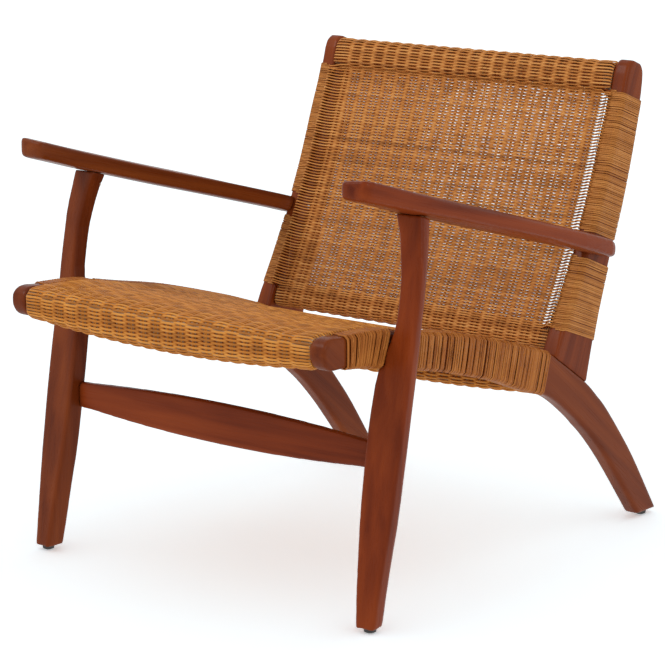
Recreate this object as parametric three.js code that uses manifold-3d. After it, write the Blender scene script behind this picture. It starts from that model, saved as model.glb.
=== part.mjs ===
// Low lounge chair: hardwood frame, woven cane seat and back.
// Millimetres, +Z up, +X across the seat, +Y to the back, origin on the floor below the middle.
// Side view points are [y, z], with y counted from the front feet.
import * as THREE from 'three';
import { mergeVertices } from 'three/addons/utils/BufferGeometryUtils.js';
import Module from 'manifold-3d';

const wasm = await Module();
wasm.setup();

// Sizes that the whole chair shares
const clearWidth = 537; // between the two side boards
const boardThickness = 27; // side boards and back posts
const caneThickness = 2.7; // one layer of wound cane
const weaveThickness = 4; // a woven panel
const clearance = 0.3; // between neighbouring pieces
const inner = clearWidth / 2;
const outer = inner + boardThickness;

// Side board: seat rail in front, rear leg behind, sawn from one board.
// Each row is [top y, top z, bottom y, bottom z, top edge cut, bottom edge cut].
const boardRows = [
  [-76.5, 406, -76.5, 397, 2.5, 2.5],
  [-74.5, 413, -74, 389.5, 3, 3],
  [-69, 418.5, -68, 381, 3.5, 3.5],
  [-59, 422, -57, 376.5, 4, 4],
  [-31, 419.5, -31, 375.5, 4, 4],
  [0, 418, 0, 372, 4, 4],
  [30, 416.5, 30, 367, 4, 4],
  [60, 413, 60, 361, 4, 4],
  [90, 406.5, 90, 354.5, 4, 4],
  [150, 394, 150, 342, 4, 4],
  [190, 386.5, 190, 333, 4, 4],
  [235, 377, 235, 320, 4, 4],
  [280, 365.5, 279, 307.5, 4, 4],
  [330, 351.5, 326, 293.5, 4, 4],
  [380, 337, 372, 275, 4, 4],
  [430, 320.5, 415, 260, 4, 4],
  [456, 311.5, 438, 252, 4, 4],
  [468, 303, 462, 241, 0.6, 4],
  [498, 284, 484, 228, 0.6, 4],
  [528, 265, 508, 211, 0.6, 4],
  [553, 249, 530, 194.5, 0.6, 4],
  [586, 223, 545, 181.5, 4, 4],
  [604.5, 206.5, 564, 166, 4, 4],
  [628, 181, 589, 142, 4, 4],
  [650.5, 155, 613, 117, 4, 4],
  [682, 117, 645, 80, 4, 4],
  [710, 78.5, 675, 44, 4, 4],
  [736, 41, 703, 10, 4, 4],
  [766, -2, 735, -29, 4, 4],
];
const boardSteps = 52;

// Back post, standing on the side board and leaning back.
// Each row is [front y, front z, back y, back z, front edge cut, back edge cut].
const postRows = [
  [468, 303, 553, 249, 1, 3],
  [477.5, 325, 562.5, 287, 2, 3],
  [488.5, 347.5, 571.5, 319.5, 5, 3],
  [510.5, 387, 583, 358, 5, 3],
  [529.5, 424, 596.5, 395.5, 5, 3],
  [546.5, 457, 609.5, 430.5, 5, 3],
  [561.5, 491, 622.5, 466, 5, 3],
  [579, 530, 638, 506, 4.5, 3],
  [596.5, 574, 653.5, 552, 3.5, 3],
  [613.5, 621, 667.5, 600, 3.5, 3],
  [627.5, 656, 677.5, 637, 3.5, 3],
  [638, 688, 686.5, 670, 3.5, 3],
  [648, 719.5, 691, 704.5, 3.5, 3],
  [654, 726, 690, 713, 5, 4],
  [662, 729.3, 684.5, 721, 4, 4],
];
const postSteps = 24;

// Front leg, wide under the rail and lapped outside it.
// Each row is [z, outer front y, inner side, outer side, depth]; sides count from the rail's outer face.
const legRows = [
  [0, -11.5, 1.5, 31.5, 31],
  [7, -10.5, 1.5, 32, 32],
  [50, -4, -2.5, 33.5, 33],
  [100, 5, -6.5, 36.5, 32],
  [150, 14.5, -10.5, 39.5, 32],
  [200, 23.5, -12.5, 41, 31],
  [250, 32.5, -13.5, 42.3, 30],
  [300, 42, -13.3, 43, 29],
  [345, 51, -11, 43.2, 28.5],
  [375, 57, -5, 43.2, 27.5],
  [400, 62, 5.5, 43.2, 26.5],
  [425, 66, 10.5, 43.4, 26],
  [455, 71.5, 11, 43.4, 26],
  [485, 76.5, 10, 42.5, 26],
  [513, 81, 5.5, 41, 27],
  [543, 87, -0.5, 37, 28],
  [571, 92, -10.5, 32.5, 30],
  [584, 94.5, -14.5, 30, 31],
];
const legToeOut = THREE.MathUtils.degToRad(5.5);
const legCut = 3;
const legBackRadius = 12; // rounded corner, outside at the back
const legBackSteps = 3;
const legSteps = 26;

// Armrest, sloping down to the post; its outer edge stands a little higher than its inner edge.
// Each row is [y, top z, inner side, outer side, outer rise]; sides count from the rail's outer face.
const armRows = [
  [-26, 629.8, -17.5, 30.5, 4],
  [-8, 625.6, -17.3, 31.7, 4.2],
  [14, 619.3, -17, 33.5, 4.4],
  [66, 604.2, -16.8, 36.5, 4.5],
  [119, 589.7, -16.5, 39, 4.5],
  [228, 560.2, -16, 42, 4.5],
  [343, 530.2, -15.5, 43.2, 4.3],
  [462, 499, -15, 41.5, 2.5],
  [520, 483.6, -14.5, 38.5, 1.2],
  [560, 472.6, -14.3, 35, 0.5],
  [590.5, 463.4, -14, 31.5, 0],
];
const armThickness = 26.2;
const armEdgeCut = 4;
const armOuterCut = 6; // top edge, outside
const armTipRadius = 11;
const armEndRadius = 24;
const armBevelHeight = 8;
const armBevelWidth = 20;
const armBevelFade = 200;
const armSteps = 14;
const armEndSteps = 5;

// Cross members, square to the side piece that carries them. place is y along the board's top edge
// or z along the post's front edge, drop how far the wood lies behind that edge. Then height,
// thickness, bow of the lower edge, and the edge cuts from the front top edge round by the back.
const seatSag = 9.5; // of the woven seat below the side boards' cane
const backSetBack = 7; // woven back behind the front edge of the posts
const frontRail = { place: -54, drop: 2.5, height: 41, thickness: 40.4, bow: 15, cuts: [9, 1, 5, 8] };
const rearRail = {
  place: 463, drop: seatSag - weaveThickness / 2, height: 50.5, thickness: 20, bow: 12, cuts: [1, 5, 4, 4],
};
const backTopRail = { place: 705.9, drop: 2.4, height: 37.8, thickness: 22, bow: 0, cuts: [6, 6, 4, 2] };
const backBottomRail = {
  place: 329.8, drop: backSetBack + caneThickness, height: 30, thickness: 20, bow: 0, cuts: [2, 4, 4, 4],
};
const railSteps = 8;
const stretcher = { y: 51.5, top: 257, bottom: 218.5, crown: 10.5, bow: 12.5, thickness: 15 };
const stretcherEdgeCut = 3;
const stretcherSteps = 16;
const tenonLength = 18;
const tenonThickness = 10;
const tenonShoulder = 5; // left above and below each tenon
const stretcherTenonInset = -12; // tenon centre from the rail's outer face
const sagSidePower = 8;
const sagFrontShare = 0.4; // of the seat's depth
const panelRimShare = 0.97; // a line of points near each side of a panel
const warpCount = 22; // pairs of lengthwise strands in a panel
const warpReach = 247.8; // from the middle to the outermost pair
const warpRise = 0.8; // of the crossing strands over and under each pair
const floorReach = 900;

// Cane: where each wound stretch begins and ends
const frontWrapStart = -31;
const frontWrapEnd = 49; // clear of the leg's front face
const rearWrapStart = 88;
const rearWrapEnd = 455;
const lowerWrapStart = 341;
const lowerWrapEnd = 446;
const upperWrapStart = 485;
const upperWrapEnd = 685;
const wrapRingSpacing = 28;
const panelSteps = 14;

// Fixings
const dowelRadius = 4.5;
const dowelLength = 44;
const dowelSpacing = 34;
const legDowelRadius = 4;
const legDowelLength = 36;
const legDowelSpacing = 17;
const legDowelInset = 17; // of the dowels' length, in the arm
const screwRadius = 2.5;
const screwHeadRadius = 5;
const screwHeadHeight = 3.5;
const legScrewLength = 56;
const legScrewSpots = [[63, 371], [69, 395]];
const armScrewLength = 50;
const armScrewSpot = [574, 457];
const roundSides = 12;

// Floor glides
const glideHeight = 8;
const glideRadius = 9;
const glideFace = 5;
const glideStemRadius = 2;
const glideStemLength = 14;
const glideSides = 20;
const frontGlideY = 3;

// Materials
const wood = { color: 0x6f3322, roughness: 0.38, metalness: 0 };
const cane = { color: 0xb97d45, roughness: 0.62, metalness: 0 };
const dowelWood = { color: 0xc9a26b, roughness: 0.7, metalness: 0 };
const steel = { color: 0x8d8f92, roughness: 0.35, metalness: 1 };
const darkSteel = { color: 0x2e2a28, roughness: 0.45, metalness: 0.8 };

const chair = new THREE.Group();
const sideView = (y, z) => new THREE.Vector3(0, y, z);

function addPiece(name, geometry, finish) {
  const mesh = new THREE.Mesh(geometry, new THREE.MeshStandardMaterial(finish));
  mesh.name = name;
  chair.add(mesh);
  return mesh;
}

// Solids for cutting and joining
function solidOf(geometry) {
  const bare = geometry.clone();
  bare.deleteAttribute('normal');
  bare.deleteAttribute('uv');
  const merged = mergeVertices(bare);
  const vertProperties = new Float32Array(merged.attributes.position.array);
  const triVerts = new Uint32Array(merged.index.array);
  return new wasm.Manifold(new wasm.Mesh({ numProp: 3, vertProperties, triVerts }));
}

function geometryOf(solid) {
  const mesh = solid.getMesh();
  const geometry = new THREE.BufferGeometry();
  geometry.setAttribute('position', new THREE.BufferAttribute(mesh.vertProperties, 3));
  geometry.setIndex(new THREE.BufferAttribute(mesh.triVerts, 1));
  return geometry;
}

function indexed(points, faces) {
  const geometry = new THREE.BufferGeometry().setFromPoints(points);
  geometry.setIndex(faces);
  return geometry;
}

function mirrorSolid(solid) {
  const copy = geometryOf(solid).scale(-1, 1, 1);
  const index = copy.index.array;
  for (let i = 0; i < index.length; i += 3) {
    [index[i], index[i + 1]] = [index[i + 1], index[i]];
  }
  return solidOf(copy);
}

// A pair of pieces: the right one as built, the left one mirrored
function addPair(name, solid, finish) {
  addPiece(`${name}_right`, geometryOf(solid), finish);
  addPiece(`${name}_left`, geometryOf(mirrorSolid(solid)), finish);
}

// Faces between neighbouring rings of equal count
function bandFaces(faces, from, to, count) {
  for (let i = 0; i < count; i += 1) {
    const next = (i + 1) % count;
    faces.push(from + i, from + next, to + next, from + i, to + next, to + i);
  }
}

function outward(points, faces) {
  let volume = 0;
  for (let i = 0; i < faces.length; i += 3) {
    const [a, b, c] = [points[faces[i]], points[faces[i + 1]], points[faces[i + 2]]];
    volume += a.dot(b.clone().cross(c));
  }
  if (volume < 0) faces.reverse();
  return indexed(points, faces);
}

// A solid through rings of points, closed by a flat cap at each end
function loft(rings) {
  const count = rings[0].length;
  const points = rings.flat();
  const faces = [];
  for (let i = 0; i + 1 < rings.length; i += 1) {
    bandFaces(faces, i * count, (i + 1) * count, count);
  }
  const last = (rings.length - 1) * count;
  for (let i = 1; i + 1 < count; i += 1) {
    faces.push(0, i + 1, i);
    faces.push(last, last + i, last + i + 1);
  }
  return solidOf(outward(points, faces));
}

// A sleeve: outer rings out, inner rings back
function sleeve(outerRings, innerRings) {
  const rings = [...outerRings, ...innerRings.toReversed()];
  const count = rings[0].length;
  const faces = [];
  for (let i = 0; i < rings.length; i += 1) {
    bandFaces(faces, i * count, ((i + 1) % rings.length) * count, count);
  }
  return solidOf(outward(rings.flat(), faces));
}

// A flat outline in the side view, run across the chair
function across(outline, from, to) {
  const shape = new THREE.Shape(outline.map(([y, z]) => new THREE.Vector2(y, z)));
  const geometry = new THREE.ExtrudeGeometry(shape, { depth: to - from, bevelEnabled: false });
  geometry.rotateY(Math.PI / 2).rotateX(Math.PI / 2).translate(from, 0, 0);
  return solidOf(geometry);
}

function cylinder(radius, from, to) {
  const geometry = new THREE.CylinderGeometry(radius, radius, from.distanceTo(to), roundSides);
  const upright = new THREE.Vector3(0, 1, 0);
  const direction = to.clone().sub(from).normalize();
  geometry.applyQuaternion(new THREE.Quaternion().setFromUnitVectors(upright, direction));
  geometry.translate(...from.clone().lerp(to, 0.5).toArray());
  return solidOf(geometry);
}

// A parallel step outward widens a corner cut by this share of the step
const cutGrowthShare = 2 - Math.SQRT2;

// Bars of the side frame: an edge on each side of the side view, smoothed through the rows
function bar(rows) {
  const edge = (i) => new THREE.CatmullRomCurve3(
    rows.map((row) => sideView(row[i], row[i + 1])), false, 'centripetal');
  const [first, second] = [edge(0), edge(2)];
  const cut = (t, i) => {
    const place = t * (rows.length - 1);
    const row = Math.min(Math.floor(place), rows.length - 2);
    return THREE.MathUtils.lerp(rows[row][i], rows[row + 1][i], place - row);
  };
  return (t) => ({
    a: first.getPoint(t),
    b: second.getPoint(t),
    cutA: cut(t, 4),
    cutB: cut(t, 5),
  });
}

// The place along a bar where a measure of it reaches a value
function placeAt(measure, value) {
  let [low, high] = [0, 1];
  const rising = measure(1) > measure(0);
  while (high - low > Number.EPSILON * 4) {
    const middle = (low + high) / 2;
    if ((measure(middle) < value) === rising) low = middle;
    else high = middle;
  }
  return low;
}

function placeWhere(line, axis, value) {
  return placeAt((t) => line(t).a[axis], value);
}

// The place along a bar where a panel at a depth meets the cane of a cross member, on one side of it
function placeBeside(member, side, depth) {
  return placeAt((t) => {
    const { a, b } = member.line(t);
    const inward = b.clone().sub(a).normalize();
    return a.addScaledVector(inward, depth).sub(member.centre).dot(member.along);
  }, side * (member.wide + caneThickness) / 2);
}

const board = bar(boardRows);
const post = bar(postRows);

function barRing({ a, b, cutA, cutB }, grow) {
  const along = b.clone().sub(a).normalize();
  const depth = a.distanceTo(b) + 2 * grow;
  const [left, right] = [inner - grow, outer + grow];
  const [top, end] = [cutA + cutGrowthShare * grow, cutB + cutGrowthShare * grow];
  const corners = [
    [left, top], [left + top, 0], [right - top, 0], [right, top],
    [right, depth - end], [right - end, depth], [left + end, depth], [left, depth - end],
  ];
  return corners.map(([x, s]) => a.clone().addScaledVector(along, s - grow).setX(x));
}

function barRings(line, from, to, steps, grow) {
  const rings = [];
  for (let i = 0; i <= steps; i += 1) {
    rings.push(barRing(line(THREE.MathUtils.lerp(from, to, i / steps)), grow));
  }
  return rings;
}

function wrap(line, from, to) {
  const length = line(from).a.distanceTo(line(to).a);
  const steps = Math.max(Math.round(length / wrapRingSpacing), 2);
  const outside = barRings(line, from, to, steps, caneThickness);
  const inside = barRings(line, from, to, steps, clearance);
  return sleeve(outside, inside);
}

// Where a cross member sits on its side piece: the board carries it by its height, the post by its
// thickness
function seated(member, line, axis) {
  const { a, b } = line(placeWhere(line, axis, member.place));
  const inward = b.clone().sub(a).normalize();
  const onBoard = line === board;
  const up = onBoard ? inward.clone().negate() : sideView(-inward.z, inward.y);
  const back = onBoard ? sideView(up.z, -up.y) : inward;
  const [deep, wide] = onBoard ? [member.height, member.thickness] : [member.thickness, member.height];
  const centre = a.clone().addScaledVector(inward, member.drop + deep / 2);
  return { ...member, line, centre, up, back, along: onBoard ? back : up, wide };
}

const frontMember = seated(frontRail, board, 'y');
const rearMember = seated(rearRail, board, 'y');
const topMember = seated(backTopRail, post, 'z');
const bottomMember = seated(backBottomRail, post, 'z');

// Cross members run across the chair, with a tenon at each end
function crossRing(member, x, half, grow) {
  const { up, back } = member;
  const [h, t] = [member.height / 2 + grow, member.thickness / 2 + grow];
  const [c0, c1, c2, c3] = member.cuts.map((cut) => cut + cutGrowthShare * grow);
  const low = -h - member.bow * (1 - (x / half) ** 2);
  const corners = [
    [-t, h - c0], [c0 - t, h], [t - c1, h], [t, h - c1],
    [t, low + c2], [t - c2, low], [c3 - t, low], [-t, low + c3],
  ];
  const centre = member.centre.clone().setX(x);
  return corners.map(([s, v]) => centre.clone().addScaledVector(back, s).addScaledVector(up, v));
}

function crossRings(member, half, grow) {
  const steps = member.bow > 0 ? railSteps : 1;
  const rings = [];
  for (let i = 0; i <= steps; i += 1) {
    rings.push(crossRing(member, half * (2 * i / steps - 1), half, grow));
  }
  return rings;
}

function tenon(centre, lean, height, from, grow) {
  const [x, y, z] = [tenonLength, tenonThickness, height - 2 * tenonShoulder];
  const geometry = new THREE.BoxGeometry(x + 2 * grow, y + 2 * grow, z + 2 * grow);
  geometry.rotateX(-lean);
  geometry.translate(from, centre.y, centre.z);
  return solidOf(geometry);
}

function memberTenon(member, side, grow) {
  const lean = Math.atan2(member.up.y, member.up.z);
  return tenon(member.centre, lean, member.height, side * inner, grow);
}

function crossMember(member) {
  const body = loft(crossRings(member, inner - clearance, 0));
  return body.add(memberTenon(member, 1, 0)).add(memberTenon(member, -1, 0));
}

function crossSleeve(member) {
  const half = inner - clearance;
  return sleeve(crossRings(member, half, caneThickness), crossRings(member, half, clearance));
}

// Front legs
const legCurves = [1, 2, 3, 4].map((i) => new THREE.CatmullRomCurve3(
  legRows.map((row) => new THREE.Vector3(row[i], 0, row[0])), false, 'centripetal'));

function legRing(t, grow) {
  const [front, innerSide, outerSide, depth] = legCurves.map((curve) => curve.getPoint(t).x);
  const z = legCurves[0].getPoint(t).z;
  const sideways = new THREE.Vector3(Math.cos(legToeOut), Math.sin(legToeOut), 0);
  const backward = new THREE.Vector3(-Math.sin(legToeOut), Math.cos(legToeOut), 0);
  const corner = new THREE.Vector3(outer + outerSide, front, z);
  const width = (outerSide - innerSide) / Math.cos(legToeOut);
  const cut = legCut + cutGrowthShare * grow;
  const [s0, s1, d0, d1] = [-width - grow, grow, -grow, depth + grow];
  const corners = [[s0, d0 + cut], [s0 + cut, d0], [s1 - cut, d0], [s1, d0 + cut]];
  const radius = legBackRadius + grow;
  for (let i = 0; i <= legBackSteps; i += 1) {
    const turn = i / legBackSteps * Math.PI / 2;
    corners.push([s1 - radius * (1 - Math.cos(turn)), d1 - radius * (1 - Math.sin(turn))]);
  }
  corners.push([s0 + cut, d1], [s0, d1 - cut]);
  return corners.map(([s, d]) => corner.clone().addScaledVector(sideways, s)
    .addScaledVector(backward, d));
}

function legBlank(grow) {
  const rings = [];
  for (let i = 0; i <= legSteps; i += 1) rings.push(legRing(i / legSteps, grow));
  return loft(rings);
}

// Armrests
const armCurves = [1, 2, 3, 4].map((i) => new THREE.CatmullRomCurve3(
  armRows.map((row) => new THREE.Vector3(row[i], row[0], 0)), false, 'centripetal'));
const armFront = armRows[0][0];
const armBack = armRows[armRows.length - 1][0];

// How far a rounded end draws in at a distance from it
function roundIn(radius, distance) {
  const d = Math.min(distance, radius);
  return radius - Math.sqrt(radius ** 2 - (radius - d) ** 2);
}

function armRing(t, y, grow) {
  const [top, innerSide, outerSide, rise] = armCurves.map((curve) => curve.getPoint(t).x);
  const [toTip, toEnd] = [y - armFront, armBack - y];
  const tip = roundIn(armTipRadius, toTip);
  const end = roundIn(armEndRadius, toEnd);
  const thin = roundIn(armEdgeCut, toTip) + roundIn(armEdgeCut, toEnd);
  const [left, right] = [outer + innerSide + tip - grow, outer + outerSide - tip - end + grow];
  const [high, low] = [top - thin + grow, top - armThickness + thin - grow];
  const fade = Math.min(1, toTip / armBevelFade, toEnd / armBevelFade);
  const cut = armEdgeCut / 2;
  const side = cut + (armOuterCut - cut) * fade;
  const [up, run] = [cut + (armBevelHeight - cut) * fade, cut + (armBevelWidth - cut) * fade];
  const corners = [
    [left, low + cut], [left, high - cut], [left + cut, high], [right - side, high + rise],
    [right, high + rise - side], [right, low + up], [right - run, low], [left + cut, low],
  ];
  return corners.map(([x, z]) => new THREE.Vector3(x, y, z));
}

function armBlank(grow) {
  const places = [];
  for (let i = 0; i < armEndSteps; i += 1) {
    places.push(armFront + armTipRadius * (1 - Math.cos(i / armEndSteps * Math.PI / 2)));
  }
  const [from, to] = [armFront + armTipRadius, armBack - armEndRadius];
  for (let i = 0; i <= armSteps; i += 1) places.push(THREE.MathUtils.lerp(from, to, i / armSteps));
  for (let i = armEndSteps - 1; i >= 0; i -= 1) {
    places.push(armBack - armEndRadius * (1 - Math.cos(i / armEndSteps * Math.PI / 2)));
  }
  return loft(places.map((y) => armRing(armPlace(y), y, grow)));
}

function armPlace(y) {
  return placeWhere((t) => ({ a: armCurves[0].getPoint(t) }), 'y', y);
}

function armHeight(y) {
  return armCurves[0].getPoint(armPlace(y)).x;
}

// Front stretcher: crowned on top, bowed below, its ends cut to the legs
function stretcherBlank() {
  const half = outer;
  const rings = [];
  for (let i = 0; i <= stretcherSteps; i += 1) {
    const x = half * (2 * i / stretcherSteps - 1);
    const rise = Math.max(0, 1 - (x / inner) ** 2);
    const [high, low] = [stretcher.top + stretcher.crown * rise, stretcher.bottom - stretcher.bow * rise];
    const [front, back] = [stretcher.y - stretcher.thickness / 2, stretcher.y + stretcher.thickness / 2];
    const cut = stretcherEdgeCut;
    const corners = [
      [front, high - cut], [front + cut, high], [back - cut, high], [back, high - cut],
      [back, low + cut], [back - cut, low], [front + cut, low], [front, low + cut],
    ];
    rings.push(corners.map(([y, z]) => new THREE.Vector3(x, y, z)));
  }
  return loft(rings);
}

function stretcherTenon(side, grow) {
  const middle = sideView(stretcher.y, (stretcher.top + stretcher.bottom) / 2);
  const from = side * (outer + stretcherTenonInset);
  return tenon(middle, 0, stretcher.top - stretcher.bottom, from, grow);
}

// Fixings
function screw(spot, length, grow) {
  const [y, z] = spot;
  const at = (x) => new THREE.Vector3(x, y, z);
  const head = cylinder(screwHeadRadius + grow, at(inner - grow), at(inner + screwHeadHeight + grow));
  return head.add(cylinder(screwRadius + grow, at(inner), at(inner + length + grow)));
}

const jointFront = post(0).a;
const jointBack = post(0).b;
const jointAlong = jointBack.clone().sub(jointFront).normalize();
const jointUp = sideView(-jointAlong.z, jointAlong.y);
const jointMiddle = jointFront.clone().lerp(jointBack, 0.5).setX((inner + outer) / 2);
const dowelSpots = [-dowelSpacing / 2, dowelSpacing / 2].map(
  (s) => jointMiddle.clone().addScaledVector(jointAlong, s));

function dowel(middle, radius, length, direction, grow) {
  const from = middle.clone().addScaledVector(direction, -length / 2 - grow);
  const to = middle.clone().addScaledVector(direction, length / 2 + grow);
  return cylinder(radius + grow, from, to);
}

const upward = new THREE.Vector3(0, 0, 1);
const floorSlab = across([[-floorReach, -floorReach], [floorReach, -floorReach],
  [floorReach, glideHeight], [-floorReach, glideHeight]], -floorReach, floorReach);

function glide(x, y) {
  const profile = [
    [0, 0], [glideFace, 0], [glideRadius - clearance, glideHeight / 4],
    [glideRadius, glideHeight / 2], [glideRadius, glideHeight - clearance],
    [glideStemRadius, glideHeight - clearance],
    [glideStemRadius, glideHeight + glideStemLength], [0, glideHeight + glideStemLength],
  ];
  const geometry = new THREE.LatheGeometry(profile.map(([r, z]) => new THREE.Vector2(r, z)), glideSides);
  geometry.rotateX(Math.PI / 2).translate(x, y, 0);
  return solidOf(geometry);
}

function glideBore(x, y) {
  const from = new THREE.Vector3(x, y, 0);
  const to = new THREE.Vector3(x, y, glideHeight + glideStemLength + clearance);
  return cylinder(glideStemRadius + clearance, from, to);
}

// Woven panels
function slab(topGrid, underGrid) {
  const [rows, columns] = [topGrid.length, topGrid[0].length];
  const points = [...topGrid.flat(), ...underGrid.flat()];
  const under = rows * columns;
  const faces = [];
  const quad = (a, b, c, d) => faces.push(a, b, c, a, c, d);
  for (let i = 0; i + 1 < rows; i += 1) {
    for (let j = 0; j + 1 < columns; j += 1) {
      const a = i * columns + j;
      quad(a, a + 1, a + columns + 1, a + columns);
      quad(under + a, under + a + columns, under + a + columns + 1, under + a + 1);
    }
    const [first, last] = [i * columns, (i + 1) * columns - 1];
    quad(first, first + columns, under + first + columns, under + first);
    quad(last, under + last, under + last + columns, last + columns);
  }
  for (let j = 0; j + 1 < columns; j += 1) {
    const end = (rows - 1) * columns + j;
    quad(j, under + j, under + j + 1, j + 1);
    quad(end, end + 1, under + end + 1, under + end);
  }
  return solidOf(outward(points, faces));
}

// Places across a panel: its two sides, and between them a crest at each warp and a valley beside it
const panelHalf = inner - caneThickness - clearance;
const warpPlaces = Array.from({ length: warpCount * 2 - 1 }, (_, i) => ({
  share: warpReach / panelHalf * (i / (warpCount - 1) - 1), rise: i % 2 ? 0 : warpRise,
}));
const plainPlace = (share) => ({ share, rise: 0 });
const panelPlaces = [
  plainPlace(-1), plainPlace(-panelRimShare), ...warpPlaces, plainPlace(panelRimShare), plainPlace(1),
];

// A panel that follows the first edge of a bar, at a depth behind that edge
function panel(line, from, to, depthAt) {
  const grid = (behind, riseSide) => panelPlaces.map(({ share, rise }) => {
    const row = [];
    for (let i = 0; i <= panelSteps; i += 1) {
      const along = i / panelSteps;
      const { a, b } = line(THREE.MathUtils.lerp(from, to, along));
      const inward = b.clone().sub(a).normalize();
      const relief = i > 0 && i < panelSteps ? rise * riseSide : 0;
      row.push(a.addScaledVector(inward, depthAt(share, along) + behind + relief).setX(share * panelHalf));
    }
    return row;
  });
  return slab(grid(0, -1), grid(weaveThickness, 1));
}

// Side frame
const dowelBores = dowelSpots.map((spot) => dowel(spot, dowelRadius, dowelLength, jointUp, clearance));
const legScrews = legScrewSpots.map((spot) => screw(spot, legScrewLength, 0));
const legScrewBores = legScrewSpots.map((spot) => screw(spot, legScrewLength, clearance));
const armScrewBore = screw(armScrewSpot, armScrewLength, clearance);
const cutAll = (solid, cutters) => cutters.reduce((rest, cutter) => rest.subtract(cutter), solid);

const footMiddle = (t) => board(t).a.add(board(t).b).divideScalar(2);
const rearGlideY = footMiddle(placeAt((t) => footMiddle(t).z, glideHeight)).y;

const boardBody = cutAll(loft(barRings(board, 0, 1, boardSteps, 0)), [
  floorSlab, ...dowelBores, ...legScrewBores,
  memberTenon(frontMember, 1, clearance), memberTenon(rearMember, 1, clearance),
  glideBore((inner + outer) / 2, rearGlideY),
]);
addPair('side_rail', boardBody, wood);

const postRings = barRings(post, 0, 1, postSteps, 0);
const postBody = cutAll(loft(postRings).translate(...jointUp.clone().multiplyScalar(clearance)), [
  ...dowelBores, armScrewBore,
  memberTenon(topMember, 1, clearance), memberTenon(bottomMember, 1, clearance),
]);
addPair('back_post', postBody, wood);

// Armrests and front legs
const legTop = legRing(1, 0).reduce((sum, p) => sum.add(p), new THREE.Vector3())
  .divideScalar(legRing(1, 0).length);
const legDowelTop = armHeight(legTop.y) - armThickness + legDowelInset;
const legDowels = [-legDowelSpacing / 2, legDowelSpacing / 2].map((x) => {
  const z = legDowelTop - legDowelLength / 2;
  return new THREE.Vector3(legTop.x + x, legTop.y, z);
});
const legDowelBores = legDowels.map(
  (spot) => dowel(spot, legDowelRadius, legDowelLength, upward, clearance));
const postGrown = loft(barRings(post, 0, 1, postSteps, clearance));
const armBody = cutAll(armBlank(0), [postGrown, ...legDowelBores, armScrewBore]);
addPair('armrest', armBody, wood);

const railLap = loft(barRings(board, 0, 1, boardSteps, clearance));
const frontGlideX = legRing(0, 0).reduce((sum, p) => sum + p.x, 0) / legRing(0, 0).length;
const underArm = armRows.map(([y, top]) => [y, top - armThickness - clearance]);
const aboveArm = across([...underArm, [armBack, floorReach], [armFront, floorReach]], -floorReach, floorReach);
const legBody = cutAll(legBlank(0), [
  railLap, armBlank(clearance), aboveArm, floorSlab, ...legDowelBores, ...legScrewBores,
  stretcherTenon(1, clearance), glideBore(frontGlideX, frontGlideY),
]);
addPair('front_leg', legBody, wood);

// Cross members
const stretcherBody = cutAll(stretcherBlank(), [legBlank(clearance), mirrorSolid(legBlank(clearance))])
  .add(stretcherTenon(1, 0)).add(stretcherTenon(-1, 0));
addPiece('front_stretcher', geometryOf(stretcherBody), wood);
addPiece('front_seat_rail', geometryOf(crossMember(frontMember)), wood);
addPiece('rear_seat_rail', geometryOf(crossMember(rearMember)), wood);
addPiece('back_top_rail', geometryOf(crossMember(topMember)), wood);
addPiece('back_bottom_rail', geometryOf(crossMember(bottomMember)), wood);

// Woven cane
const sagAt = (share, along) => {
  const side = 1 - Math.abs(share) ** sagSidePower;
  return seatSag * side * Math.min(1, along / sagFrontShare);
};
const seatFrom = placeBeside(frontMember, 1, 0);
const seatTo = placeBeside(rearMember, -1, seatSag);
const seatPanel = panel(board, seatFrom, seatTo, (share, along) => sagAt(share, along) - caneThickness);
const seatBody = seatPanel.add(crossSleeve(frontMember)).add(crossSleeve(rearMember));
addPiece('seat_cane', geometryOf(seatBody), cane);

const backFrom = placeBeside(bottomMember, 1, backSetBack);
const backTo = placeBeside(topMember, -1, backSetBack);
const backPanel = panel(post, backFrom, backTo, () => backSetBack);
const backBody = backPanel.add(crossSleeve(topMember)).add(crossSleeve(bottomMember));
addPiece('back_cane', geometryOf(backBody), cane);

function wrapOf(line, axis, from, to, member) {
  const room = loft(crossRings(member, inner, caneThickness + clearance));
  return wrap(line, placeWhere(line, axis, from), placeWhere(line, axis, to)).subtract(room);
}

addPair('rail_wrap_front', wrapOf(board, 'y', frontWrapStart, frontWrapEnd, frontMember), cane);
addPair('rail_wrap_rear', wrapOf(board, 'y', rearWrapStart, rearWrapEnd, rearMember), cane);
addPair('post_wrap_lower', wrapOf(post, 'z', lowerWrapStart, lowerWrapEnd, bottomMember), cane);
addPair('post_wrap_upper', wrapOf(post, 'z', upperWrapStart, upperWrapEnd, topMember), cane);

// Fixings and glides
dowelSpots.forEach((spot, i) => {
  addPair(`post_dowel_${i + 1}`, dowel(spot, dowelRadius, dowelLength, jointUp, 0), dowelWood);
});
legDowels.forEach((spot, i) => {
  addPair(`arm_dowel_${i + 1}`, dowel(spot, legDowelRadius, legDowelLength, upward, 0), dowelWood);
});
legScrews.forEach((body, i) => addPair(`leg_screw_${i + 1}`, body, steel));
addPair('arm_screw', screw(armScrewSpot, armScrewLength, 0), steel);
addPair('front_glide', glide(frontGlideX, frontGlideY), darkSteel);
addPair('rear_glide', glide((inner + outer) / 2, rearGlideY), darkSteel);

// The origin lies on the floor, below the middle of the chair
const box = new THREE.Box3().setFromObject(chair);
chair.children.forEach((mesh) => mesh.geometry.translate(0, -(box.min.y + box.max.y) / 2, 0));

export default chair;
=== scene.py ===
import math
import random

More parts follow.
